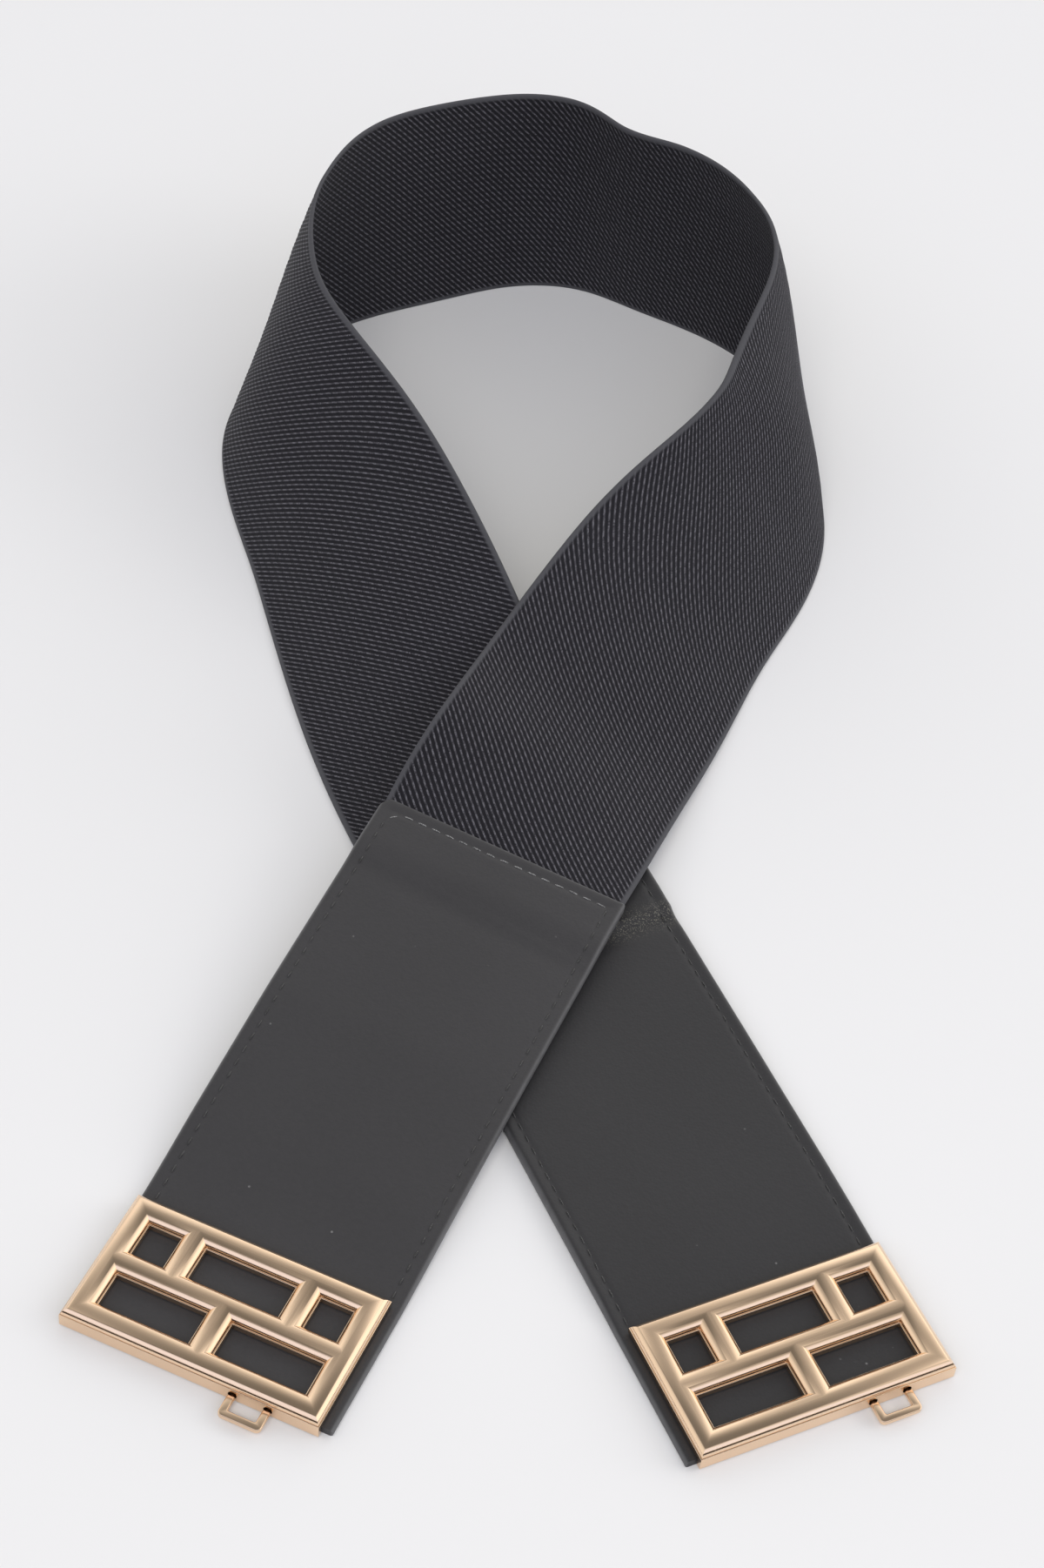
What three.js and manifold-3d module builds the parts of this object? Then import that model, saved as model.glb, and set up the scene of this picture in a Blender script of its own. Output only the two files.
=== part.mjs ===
// A wide elastic belt lying in an open loop, with its two ends crossed in front.
// Millimetres, +Z up. The elastic stands on its lower edge at the back of the loop,
// twists down on both sides and ends in two leather tabs that lie flat, one over the
// other. Each tab carries one half of the two-part metal buckle.

import * as THREE from 'three';
import { mergeVertices } from 'three/addons/utils/BufferGeometryUtils.js';
import Module from 'manifold-3d';

const wasm = await Module();
wasm.setup();

// Driving dimensions

const CLEARANCE = 0.3;            // gap between pieces that touch on the real belt

const ELASTIC_LENGTH = 580;       // outer edge, from tab to tab
const ELASTIC_WIDTH = 60;
const ELASTIC_THICKNESS = 1.2;
const TONGUE_LENGTH = 14;         // elastic sewn inside each tab

const TAB_LENGTH = 116;           // leather between the elastic and the buckle
const TAB_SIDE_MARGIN = 0.5;      // leather proud of the elastic on each side
const TAB_THICKNESS = 2.8;
const TAB_SKIN = 1.0;             // leather over and under the elastic's tongue
const TAB_NOSE_THICKNESS = 1.8;   // thinned leather under the buckle
const TAB_EDGE_BEVEL = 0.6;

const BUCKLE_MARGIN = 0.8;        // elastic wider than the buckle, on each side
const BUCKLE_DEPTH = 33.2;
const BUCKLE_SIDE_SHIFT = 1.2;    // buckle set towards one long side of its tab
const BAR_WIDTH = 5.8;
const BAR_SKIRT = 1.3;            // upright wall under the ledge
const BAR_LEDGE = 0.5;
const BAR_DOME = 2.1;
const LIP_THICKNESS = 1.2;        // wall that covers the leather's free end
const LIP_FOOT = 0.4;             // lip's lower edge above the table

const LOOP_INSET = 15.2;          // clasp loop's centre from the buckle's right-hand end
const LOOP_SPACING = 7.9;         // between the loop's two legs
const LOOP_BAR = 1.7;
const LOOP_THICKNESS = 1.3;
const LOOP_REACH = 5.4;           // how far the loop stands out of the lip
const LOOP_PEG_RADIUS = 0.5;
const LOOP_SOCKET_RADIUS = 1.0;

const HOOK_WIDTH = 5;
const HOOK_THICKNESS = 1;
const HOOK_BAY = 1.6;             // free space behind the lip for the other half's loop

// How finely the curved pieces are divided

const BAND_STEPS = 92;
const BAND_STRIPS = 6;
const TONGUE_STEPS = 3;
const TAB_STEPS = 14;
const DOME_STEPS = 6;
const SOCKET_SIDES = 12;

// The elastic's course. A row stands at a share of ELASTIC_LENGTH, counted along the
// outer edge from the upper tab. heading is the direction of that edge on the table,
// lean is how far the width stands up from the table, both in degrees. bow is the
// bulge of the middle towards the inner face and lift is the edge's height above the
// table, both as shares of ELASTIC_WIDTH.

const COURSE = [
  { at: 0.00, heading: 70.6, lean: 5, bow: 0, lift: 0.13 },
  { at: 0.04, heading: 71.6, lean: 19, bow: 0, lift: 0.09 },
  { at: 0.09, heading: 71, lean: 22, bow: 0, lift: 0.03 },
  { at: 0.14, heading: 73, lean: 34, bow: 0, lift: 0.005 },
  { at: 0.19, heading: 68, lean: 50, bow: 0, lift: 0 },
  { at: 0.23, heading: 78, lean: 57, bow: -0.01, lift: 0 },
  { at: 0.27, heading: 95, lean: 61, bow: -0.08, lift: 0 },
  { at: 0.32, heading: 103, lean: 73, bow: -0.03, lift: 0 },
  { at: 0.38, heading: 135, lean: 82, bow: -0.06, lift: 0 },
  { at: 0.43, heading: 157, lean: 87, bow: 0, lift: 0 },
  { at: 0.46, heading: 157, lean: 86, bow: 0, lift: 0 },
  { at: 0.49, heading: 185, lean: 93, bow: 0, lift: 0 },
  { at: 0.52, heading: 206, lean: 96, bow: 0, lift: 0 },
  { at: 0.57, heading: 211, lean: 96, bow: -0.01, lift: 0 },
  { at: 0.62, heading: 231, lean: 84, bow: -0.055, lift: 0 },
  { at: 0.67, heading: 255, lean: 72, bow: -0.025, lift: 0 },
  { at: 0.72, heading: 282, lean: 63, bow: -0.02, lift: 0 },
  { at: 0.76, heading: 291, lean: 53, bow: 0, lift: 0 },
  { at: 0.81, heading: 289, lean: 39, bow: 0, lift: 0 },
  { at: 0.87, heading: 291, lean: 24, bow: 0, lift: 0 },
  { at: 0.93, heading: 296, lean: 12, bow: 0, lift: 0 },
  { at: 1.00, heading: 299, lean: 1, bow: 0, lift: 0 },
];

// How a tab settles from the height and lean of the elastic's end to the table. A row
// stands at a share of TAB_LENGTH from the elastic; rise is the share of the starting
// height and lean that is left, body is the share of the way from the thickness
// round the tongue to TAB_THICKNESS, nose from there to TAB_NOSE_THICKNESS.

const SETTLE = [
  { at: 0.00, rise: 1.00, body: 0, nose: 0 },
  { at: 0.12, rise: 0.93, body: 0, nose: 0 },
  { at: 0.17, rise: 0.90, body: 1, nose: 0 },
  { at: 0.50, rise: 0.63, body: 1, nose: 0 },
  { at: 0.80, rise: 0.23, body: 1, nose: 0 },
  { at: 0.92, rise: 0.05, body: 1, nose: 0.3 },
  { at: 1.00, rise: 0.00, body: 1, nose: 1 },
];

// Sizes that follow from those above

const TAB_END_THICKNESS = ELASTIC_THICKNESS + 2 * CLEARANCE + 2 * TAB_SKIN;
const BUCKLE_WIDTH = ELASTIC_WIDTH - 2 * BUCKLE_MARGIN;
const FRAME_FOOT = TAB_NOSE_THICKNESS + CLEARANCE;
const LEDGE_HEIGHT = FRAME_FOOT + BAR_SKIRT;
const LOOP_OFFSET = BUCKLE_WIDTH / 2 - LOOP_INSET;
const LOOP_HEIGHT = FRAME_FOOT - LOOP_PEG_RADIUS + CLEARANCE / 2;
const SOCKET_HEIGHT = LOOP_HEIGHT + LOOP_SOCKET_RADIUS - LOOP_PEG_RADIUS - CLEARANCE;

const material = {
  elastic: new THREE.MeshStandardMaterial({ color: 0x222226, roughness: 0.85, metalness: 0 }),
  leather: new THREE.MeshStandardMaterial({ color: 0x2b2c2e, roughness: 0.55, metalness: 0 }),
  gold: new THREE.MeshStandardMaterial({ color: 0xe0bd93, roughness: 0.18, metalness: 1 }),
};

const radians = THREE.MathUtils.degToRad;
const up = new THREE.Vector3(0, 0, 1);

// Reads one column of a table at any share, on a smooth curve through its rows.
function read(table, column, at) {
  let i = 0;
  while (i < table.length - 2 && at > table[i + 1].at) {
    i += 1;
  }
  const slope = (k) => (table[k + 1][column] - table[k][column]) / (table[k + 1].at - table[k].at);
  const tangent = (k) => {
    if (k === 0) {
      return slope(0);
    }
    if (k === table.length - 1) {
      return slope(k - 1);
    }
    const before = table[k].at - table[k - 1].at;
    const after = table[k + 1].at - table[k].at;
    return (slope(k - 1) * after + slope(k) * before) / (before + after);
  };
  const span = table[i + 1].at - table[i].at;
  const t = (at - table[i].at) / span;
  return table[i][column] * (2 * t ** 3 - 3 * t ** 2 + 1)
    + table[i + 1][column] * (3 * t ** 2 - 2 * t ** 3)
    + span * (tangent(i) * (t ** 3 - 2 * t ** 2 + t) + tangent(i + 1) * (t ** 3 - t ** 2));
}

// Reads a column in straight steps from row to row.
function readStraight(table, column, at) {
  let i = 0;
  while (i < table.length - 2 && at > table[i + 1].at) {
    i += 1;
  }
  const t = (at - table[i].at) / (table[i + 1].at - table[i].at);
  return THREE.MathUtils.lerp(table[i][column], table[i + 1][column], THREE.MathUtils.clamp(t, 0, 1));
}

function direction(heading) {
  return new THREE.Vector3(Math.cos(radians(heading)), Math.sin(radians(heading)), 0);
}

// The level direction from the outer edge towards the inside of the loop.
function inward(heading) {
  return direction(heading + 90);
}

function across(heading, lean) {
  return inward(heading)
    .multiplyScalar(Math.cos(radians(lean)))
    .addScaledVector(up, Math.sin(radians(lean)));
}

// Solids

function signedVolume(geometry) {
  const p = geometry.getAttribute('position');
  const index = geometry.getIndex();
  const [a, b, c] = [new THREE.Vector3(), new THREE.Vector3(), new THREE.Vector3()];
  let volume = 0;
  for (let i = 0; i < index.count; i += 3) {
    a.fromBufferAttribute(p, index.getX(i));
    b.fromBufferAttribute(p, index.getX(i + 1));
    c.fromBufferAttribute(p, index.getX(i + 2));
    volume += a.dot(b.cross(c)) / 6;
  }
  return volume;
}

// Joins rings of points, each with as many points as the next, into a closed body.
// The ends are covered by fans, or joined to each other when closed is true.
function loft(rings, closed = false) {
  const count = rings[0].length;
  const points = rings.flat();
  const triangles = [];
  const last = closed ? rings.length : rings.length - 1;
  for (let i = 0; i < last; i += 1) {
    for (let k = 0; k < count; k += 1) {
      const a = i * count + k;
      const b = i * count + (k + 1) % count;
      const c = ((i + 1) % rings.length) * count + k;
      const d = ((i + 1) % rings.length) * count + (k + 1) % count;
      triangles.push(a, b, d, a, d, c);
    }
  }
  if (!closed) {
    cover(triangles, 0, count, false);
    cover(triangles, (rings.length - 1) * count, count, true);
  }
  const geometry = new THREE.BufferGeometry();
  geometry.setAttribute('position', new THREE.Float32BufferAttribute(points.flatMap((p) => p.toArray()), 3));
  geometry.setIndex(triangles);
  if (signedVolume(geometry) < 0) {
    geometry.setIndex(triangles.slice().reverse());
  }
  return geometry;
}

// Covers the ring that starts at first with strips from one side of it to the other.
function cover(triangles, first, count, turned) {
  const half = count / 2;
  for (let k = 0; k < half - 1; k += 1) {
    const a = first + k;
    const b = first + k + 1;
    const c = first + (count - 1 - k);
    const d = first + (count - 2 - k);
    const faces = d === b ? [a, c, b] : [a, c, b, b, c, d];
    triangles.push(...(turned ? faces.reverse() : faces));
  }
}

function solid(geometry) {
  const bare = geometry.clone();
  bare.deleteAttribute('normal');
  bare.deleteAttribute('uv');
  const merged = mergeVertices(bare, 1e-4);
  return new wasm.Manifold(new wasm.Mesh({
    numProp: 3,
    vertProperties: new Float32Array(merged.getAttribute('position').array),
    triVerts: new Uint32Array(merged.getIndex().array),
  }));
}

function geometryOf(body) {
  const mesh = body.getMesh();
  const geometry = new THREE.BufferGeometry();
  geometry.setAttribute('position', new THREE.BufferAttribute(mesh.vertProperties, 3));
  geometry.setIndex(new THREE.BufferAttribute(mesh.triVerts, 1));
  return geometry;
}

function block(lengthX, lengthY, lengthZ, x, y, z) {
  return new THREE.BoxGeometry(lengthX, lengthY, lengthZ).translate(x, y, z);
}

function piece(name, geometry, look) {
  geometry.computeVertexNormals();
  const mesh = new THREE.Mesh(geometry, look);
  mesh.name = name;
  return mesh;
}

// The two ends of the elastic and the tabs on them

// Walks the outer edge over the table and gives a frame at every step.
function courseStations() {
  const stations = [];
  const edge = new THREE.Vector3();
  const stride = ELASTIC_LENGTH / BAND_STEPS;
  for (let i = 0; i <= BAND_STEPS; i += 1) {
    const at = i / BAND_STEPS;
    const station = {
      heading: read(COURSE, 'heading', at),
      lean: read(COURSE, 'lean', at),
      bow: read(COURSE, 'bow', at) * ELASTIC_WIDTH,
      edge: edge.clone(),
    };
    const foot = Math.abs(bandCentre(station, 0).normal.z) * ELASTIC_THICKNESS / 2;
    station.edge.z = read(COURSE, 'lift', at) * ELASTIC_WIDTH + foot;
    stations.push(station);
    edge.addScaledVector(direction(read(COURSE, 'heading', Math.min(at + 0.5 / BAND_STEPS, 1))), stride);
  }
  return stations;
}

// A point in the middle of the elastic's thickness, at a share of its width, and the
// direction there from the outer face to the inner face.
function bandCentre(station, share) {
  const along = direction(station.heading);
  const width = across(station.heading, station.lean);
  const inner = new THREE.Vector3().crossVectors(width, along);
  const slope = Math.atan(station.bow * 4 * (1 - 2 * share) / ELASTIC_WIDTH);
  return {
    point: station.edge.clone()
      .addScaledVector(width, share * ELASTIC_WIDTH)
      .addScaledVector(inner, station.bow * 4 * share * (1 - share)),
    normal: inner.clone().applyAxisAngle(along, slope),
  };
}

// The under tab lies on the table, so the elastic rises to the middle of its thickness.
function raiseUnderEnd(stations) {
  const rise = TAB_END_THICKNESS / 2 - ELASTIC_THICKNESS / 2;
  const from = 0.92;
  stations.forEach((station, i) => {
    const share = THREE.MathUtils.smoothstep(i / BAND_STEPS, from, 1);
    station.edge.z += rise * share;
  });
  return stations;
}

const stations = raiseUnderEnd(courseStations());

// out is the level direction from the elastic to the buckle.
function endFrame(station, sense) {
  return {
    edge: station.edge,
    lean: station.lean,
    heading: station.heading,
    out: direction(station.heading).multiplyScalar(sense),
    sense,
  };
}

const topEnd = endFrame(stations[0], -1);
const underEnd = endFrame(stations[BAND_STEPS], 1);

// The middle plane of a tab at a distance from the elastic, negative inside the belt.
function tabFrame(end, distance) {
  const at = THREE.MathUtils.clamp(distance / TAB_LENGTH, 0, 1);
  const rise = readStraight(SETTLE, 'rise', at);
  const thickness = tabThickness(at);
  const floor = thickness / 2;
  const width = across(end.heading, end.lean * rise);
  const origin = end.edge.clone().addScaledVector(end.out, distance);
  origin.z = floor + (end.edge.z - TAB_END_THICKNESS / 2) * rise;
  const normal = new THREE.Vector3().crossVectors(direction(end.heading), width);
  return { origin, width, normal, thickness };
}

function tabThickness(at) {
  const body = readStraight(SETTLE, 'body', at);
  const nose = readStraight(SETTLE, 'nose', at);
  const full = THREE.MathUtils.lerp(TAB_END_THICKNESS, TAB_THICKNESS, body);
  return THREE.MathUtils.lerp(full, TAB_NOSE_THICKNESS, nose);
}

function place(frame, sideways, height) {
  return frame.origin.clone().addScaledVector(frame.width, sideways).addScaledVector(frame.normal, height);
}

// A flat section between two sideways limits, with bevelled long edges.
function flatSection(frame, from, to, thickness, bevel) {
  const half = thickness / 2;
  return [
    place(frame, from, -half + bevel),
    place(frame, from + bevel, -half),
    place(frame, to - bevel, -half),
    place(frame, to, -half + bevel),
    place(frame, to, half - bevel),
    place(frame, to - bevel, half),
    place(frame, from + bevel, half),
    place(frame, from, half - bevel),
  ];
}

function squareSection(frame, from, to, thickness) {
  const half = thickness / 2;
  return [
    place(frame, from, -half),
    place(frame, to, -half),
    place(frame, to, half),
    place(frame, from, half),
  ];
}

// Elastic

function bandRing(station) {
  const centres = [];
  for (let k = 0; k <= BAND_STRIPS; k += 1) {
    centres.push(bandCentre(station, k / BAND_STRIPS));
  }
  return ringRound(centres);
}

// A closed ring, half a thickness to both sides of a row of centres.
function ringRound(centres) {
  const half = ELASTIC_THICKNESS / 2;
  const side = (sign) => centres.map(({ point, normal }) => point.clone().addScaledVector(normal, sign * half));
  return [...side(1), ...side(-1).reverse()];
}

function tongueRing(end, distance) {
  const frame = tabFrame(end, distance);
  const centres = [];
  for (let k = 0; k <= BAND_STRIPS; k += 1) {
    centres.push({
      point: place(frame, ELASTIC_WIDTH * k / BAND_STRIPS, 0),
      normal: frame.normal.clone().negate(),
    });
  }
  return ringRound(centres);
}

function elasticBand() {
  const rings = stations.map(bandRing);
  for (let i = 1; i <= TONGUE_STEPS; i += 1) {
    const distance = TONGUE_LENGTH * i / TONGUE_STEPS;
    rings.unshift(tongueRing(topEnd, distance));
    rings.push(tongueRing(underEnd, distance));
  }
  return piece('elastic_band', loft(rings), material.elastic);
}

// Leather tabs

function tab(name, end) {
  const length = TAB_LENGTH + BUCKLE_DEPTH - LIP_THICKNESS - CLEARANCE;
  const low = -TAB_SIDE_MARGIN;
  const high = ELASTIC_WIDTH + TAB_SIDE_MARGIN;
  const distances = SETTLE.map((row) => row.at * TAB_LENGTH);
  for (let i = 1; i < TAB_STEPS; i += 1) {
    distances.push(TAB_LENGTH * i / TAB_STEPS);
  }
  distances.push(length);
  distances.sort((a, b) => a - b);
  const rings = distances
    .filter((distance, i) => i === 0 || distance - distances[i - 1] > 0.5)
    .map((distance) => {
      const frame = tabFrame(end, distance);
      return flatSection(frame, low, high, frame.thickness, TAB_EDGE_BEVEL);
    });
  const body = solid(loft(rings)).subtract(pocket(end)).subtract(hookBay(end, length));
  return piece(name, geometryOf(body), material.leather);
}

// The space for the elastic's tongue, open towards the elastic.
function pocket(end) {
  const depth = TONGUE_LENGTH + CLEARANCE;
  const mouth = 1;
  const rings = [-mouth, 0];
  for (let i = 1; i <= TONGUE_STEPS; i += 1) {
    rings.push(depth * i / TONGUE_STEPS);
  }
  return solid(loft(rings.map((distance) => squareSection(
    tabFrame(end, distance),
    -CLEARANCE,
    ELASTIC_WIDTH + CLEARANCE,
    ELASTIC_THICKNESS + 2 * CLEARANCE,
  ))));
}

// The leather is cut away round the hidden hook.
function hookBay(end, length) {
  const x = ELASTIC_WIDTH / 2 + BUCKLE_SIDE_SHIFT + end.sense * -LOOP_OFFSET;
  const half = HOOK_WIDTH / 2 + CLEARANCE;
  const depth = HOOK_BAY + HOOK_THICKNESS;
  const ring = (distance) => squareSection(tabFrame(end, distance), x - half, x + half, 2 * TAB_THICKNESS);
  return solid(loft([ring(length - depth), ring(length + 1)]));
}

// Buckle halves, each drawn with its free edge on the X axis, centred, and Y towards the belt.
// The hook is as far from one end as the loop is from the other, so that two halves mate.

// The bar's section from its outer foot to its inner foot: distance from the outer face, height.
function barProfile() {
  const profile = [[0, FRAME_FOOT], [0, LEDGE_HEIGHT]];
  const radius = BAR_WIDTH / 2 - BAR_LEDGE;
  for (let i = 0; i <= DOME_STEPS; i += 1) {
    const angle = Math.PI * (1 - i / DOME_STEPS);
    profile.push([BAR_WIDTH / 2 + radius * Math.cos(angle), LEDGE_HEIGHT + BAR_DOME * Math.sin(angle)]);
  }
  profile.push([BAR_WIDTH, LEDGE_HEIGHT], [BAR_WIDTH, FRAME_FOOT]);
  return profile;
}

function rectangleFrame() {
  const x = BUCKLE_WIDTH / 2;
  const corners = [[-x, 0, 1, 1], [x, 0, -1, 1], [x, BUCKLE_DEPTH, -1, -1], [-x, BUCKLE_DEPTH, 1, -1]];
  const rings = corners.map(([cx, cy, inX, inY]) => barProfile().map(
    ([inset, height]) => new THREE.Vector3(cx + inX * inset, cy + inY * inset, height),
  ));
  return solid(loft(rings, true));
}

// A bar between two points on the middle lines of the bars that it joins.
function latticeBar(from, to) {
  const side = new THREE.Vector3().crossVectors(up, to.clone().sub(from).normalize());
  const rings = [from, to].map((end) => barProfile().map(
    ([inset, height]) => end.clone().addScaledVector(side, inset - BAR_WIDTH / 2).addScaledVector(up, height),
  ));
  return solid(loft(rings));
}

// A rail along the middle of the frame, and posts that stand like the joints in two
// courses of bricks.
function latticeBars() {
  const x = (BUCKLE_WIDTH - BAR_WIDTH) / 2;
  const near = BAR_WIDTH / 2;
  const middle = BUCKLE_DEPTH / 2;
  const far = BUCKLE_DEPTH - BAR_WIDTH / 2;
  const bars = [
    [-x, middle, x, middle],
    [0, near, 0, middle],
    [-x / 2, middle, -x / 2, far],
    [x / 2, middle, x / 2, far],
  ];
  return bars.map(([x1, y1, x2, y2]) => latticeBar(new THREE.Vector3(x1, y1, 0), new THREE.Vector3(x2, y2, 0)));
}

function buckleFrame(name) {
  let body = rectangleFrame();
  for (const bar of latticeBars()) {
    body = body.add(bar);
  }
  const lipTop = FRAME_FOOT + BAR_SKIRT / 2;
  const lip = block(
    BUCKLE_WIDTH, LIP_THICKNESS, lipTop - LIP_FOOT,
    0, LIP_THICKNESS / 2, (lipTop + LIP_FOOT) / 2,
  );
  body = body.add(solid(lip));
  for (const side of [-1, 1]) {
    const depth = LIP_THICKNESS + CLEARANCE;
    const socket = new THREE.CylinderGeometry(LOOP_SOCKET_RADIUS, LOOP_SOCKET_RADIUS, 2 * depth, SOCKET_SIDES);
    socket.translate(LOOP_OFFSET + side * LOOP_SPACING / 2, 0, SOCKET_HEIGHT);
    body = body.subtract(solid(socket));
  }
  return piece(name, geometryOf(body), material.gold);
}

// A flat loop with two round pegs that sit in the lip's sockets.
function claspLoop(name) {
  const outerX = (LOOP_SPACING + LOOP_BAR) / 2;
  const innerX = (LOOP_SPACING - LOOP_BAR) / 2;
  const root = -CLEARANCE;
  const outline = new THREE.Shape([
    new THREE.Vector2(-outerX, root),
    new THREE.Vector2(-outerX, LOOP_BAR / 2 - LOOP_REACH),
    new THREE.Vector2(-outerX + LOOP_BAR / 2, -LOOP_REACH),
    new THREE.Vector2(outerX - LOOP_BAR / 2, -LOOP_REACH),
    new THREE.Vector2(outerX, LOOP_BAR / 2 - LOOP_REACH),
    new THREE.Vector2(outerX, root),
    new THREE.Vector2(innerX, root),
    new THREE.Vector2(innerX, LOOP_BAR - LOOP_REACH),
    new THREE.Vector2(-innerX, LOOP_BAR - LOOP_REACH),
    new THREE.Vector2(-innerX, root),
  ]);
  const plate = new THREE.ExtrudeGeometry(outline, { depth: LOOP_THICKNESS, bevelEnabled: false });
  plate.translate(LOOP_OFFSET, 0, LOOP_HEIGHT - LOOP_THICKNESS / 2);
  let body = solid(plate);
  for (const side of [-1, 1]) {
    const length = LIP_THICKNESS + LOOP_BAR;
    const peg = new THREE.CylinderGeometry(LOOP_PEG_RADIUS, LOOP_PEG_RADIUS, length, SOCKET_SIDES);
    peg.translate(LOOP_OFFSET + side * LOOP_SPACING / 2, LIP_THICKNESS - length / 2, LOOP_HEIGHT);
    body = body.add(solid(peg));
  }
  return piece(name, geometryOf(body), material.gold);
}

// The hidden hook under the free-edge bar, which the other half's loop catches.
function claspHook(name) {
  const height = FRAME_FOOT - CLEARANCE - LIP_FOOT;
  const y = LIP_THICKNESS + HOOK_BAY + HOOK_THICKNESS / 2;
  const hook = block(HOOK_WIDTH, HOOK_THICKNESS, height, -LOOP_OFFSET, y, LIP_FOOT + height / 2);
  return piece(name, hook, material.gold);
}

function buckleHalf(suffix, end) {
  const half = new THREE.Group();
  half.add(buckleFrame(`buckle_frame_${suffix}`));
  half.add(claspLoop(`clasp_loop_${suffix}`));
  half.add(claspHook(`clasp_hook_${suffix}`));
  const towardBelt = end.out.clone().negate();
  half.rotation.z = Math.atan2(towardBelt.y, towardBelt.x) - Math.PI / 2;
  half.position.copy(end.edge)
    .addScaledVector(end.out, TAB_LENGTH + BUCKLE_DEPTH)
    .addScaledVector(inward(end.heading), ELASTIC_WIDTH / 2 + BUCKLE_SIDE_SHIFT)
    .setZ(0);
  return half;
}

// Assembly, moved so that the origin is at the bottom centre of the whole belt

const group = new THREE.Group();
group.add(elasticBand());
group.add(tab('tab_top', topEnd));
group.add(tab('tab_under', underEnd));
group.add(buckleHalf('top', topEnd));
group.add(buckleHalf('under', underEnd));

const box = new THREE.Box3().setFromObject(group, true);
const centre = box.getCenter(new THREE.Vector3());
group.position.set(-centre.x, -centre.y, -box.min.z);
group.updateMatrixWorld(true);

export default group;
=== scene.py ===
import math
import random

import bmesh
import bpy
import numpy as np
from mathutils import Matrix, Vector


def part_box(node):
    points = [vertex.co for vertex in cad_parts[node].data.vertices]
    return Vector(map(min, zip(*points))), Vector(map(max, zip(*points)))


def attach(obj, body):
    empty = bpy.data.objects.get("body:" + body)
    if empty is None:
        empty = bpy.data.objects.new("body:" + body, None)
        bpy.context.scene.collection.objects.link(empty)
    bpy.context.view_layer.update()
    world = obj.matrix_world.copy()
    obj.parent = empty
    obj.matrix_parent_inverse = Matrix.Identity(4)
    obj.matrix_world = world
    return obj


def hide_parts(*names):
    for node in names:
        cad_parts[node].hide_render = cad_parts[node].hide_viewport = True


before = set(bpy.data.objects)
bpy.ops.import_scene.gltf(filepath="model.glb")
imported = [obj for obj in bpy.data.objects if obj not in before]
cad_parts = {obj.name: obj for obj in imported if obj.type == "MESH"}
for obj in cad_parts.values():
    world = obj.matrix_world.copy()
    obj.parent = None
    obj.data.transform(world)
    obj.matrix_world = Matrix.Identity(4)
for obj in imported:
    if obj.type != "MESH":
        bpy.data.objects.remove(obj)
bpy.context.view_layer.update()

# A wide elastic belt lying in an open loop, with its two ends crossed in front. Each end
# has a leather tab with one half of the buckle. Lengths are in millimetres until a mesh
# is made, and MM turns them into metres.

MM = 0.001

# Camera, fitted to the buckle halves, the tabs and the outline of the elastic

CAMERA_PLACE = (-0.0067, -0.5229, 0.5480)
CAMERA_PITCH = 46.64              # degrees below level
CAMERA_ROLL = 6.37
CAMERA_LENS = 72.95

# Sizes repeated from the solids

ELASTIC_LENGTH = 580.0
ELASTIC_WIDTH = 60.0
ELASTIC_THICKNESS = 1.2
TONGUE_LENGTH = 14.0
CLEARANCE = 0.3

TAB_LENGTH = 116.0
TAB_SIDE_MARGIN = 0.5
TAB_THICKNESS = 2.8
TAB_NOSE_THICKNESS = 1.8
TAB_END_THICKNESS = 3.8

BUCKLE_WIDTH = 58.4
BUCKLE_DEPTH = 33.2
BUCKLE_SIDE_SHIFT = 1.2
BAR_WIDTH = 5.8
BAR_FOOT = 2.1
LIP_THICKNESS = 1.2
LIP_FOOT = 0.4

LOOP_OFFSET = 14.0
LOOP_SPACING = 7.9
LOOP_BAR = 1.7
LOOP_THICKNESS = 1.3
LOOP_REACH = 5.4
LOOP_HEIGHT = 1.75
LOOP_PEG_RADIUS = 0.5
LOOP_SOCKET_RADIUS = 1.0
LOOP_SOCKET_HEIGHT = 1.95
HOOK_WIDTH = 5.0
HOOK_THICKNESS = 1.0
HOOK_BAY = 1.6

# The bars' section, as tall as the solid's, with a narrower ledge and soft edges

BAR_LEDGE_HEIGHT = 3.7
BAR_LEDGE = 0.22
BAR_DOME = 1.8
DOME_POWER = 1.05                 # 1 is a half ellipse, 2 a parabola
BAR_SOFT = 0.12
BAR_FLAT = 0.05                   # a narrow flat beside each soft edge keeps the wide faces flat
JOIN_STEP = 0.012                 # keeps joined faces from lying in one plane

# The loop's corners, in the order of its outline, and its bevel

LOOP_CORNERS = (0, 1.1, 1.1, 0, 0, 0.4, 0.4, 0)
LOOP_BEVEL = 0.3

# The elastic's course: share of the length, heading and lean in degrees, bow and lift as
# shares of the width

COURSE_COLUMNS = ("at", "heading", "lean", "bow", "lift")
COURSE = (
    (0.00, 70.6, 5, 0, 0.13),
    (0.04, 71.6, 19, 0, 0.09),
    (0.09, 71, 22, 0, 0.03),
    (0.14, 73, 34, 0, 0.005),
    (0.19, 68, 50, 0, 0),
    (0.23, 78, 57, -0.01, 0),
    (0.27, 95, 61, -0.08, 0),
    (0.32, 103, 73, -0.03, 0),
    (0.38, 135, 82, -0.06, 0),
    (0.43, 157, 87, 0, 0),
    (0.46, 157, 86, 0, 0),
    (0.49, 185, 93, 0, 0),
    (0.52, 206, 96, 0, 0),
    (0.57, 211, 96, -0.01, 0),
    (0.62, 231, 84, -0.055, 0),
    (0.67, 255, 72, -0.025, 0),
    (0.72, 282, 63, -0.02, 0),
    (0.76, 291, 53, 0, 0),
    (0.81, 289, 39, 0, 0),
    (0.87, 291, 24, 0, 0),
    (0.93, 296, 12, 0, 0),
    (1.00, 299, 1, 0, 0),
)
BAND_STEPS = 92
BAND_STRIPS = 6

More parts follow.
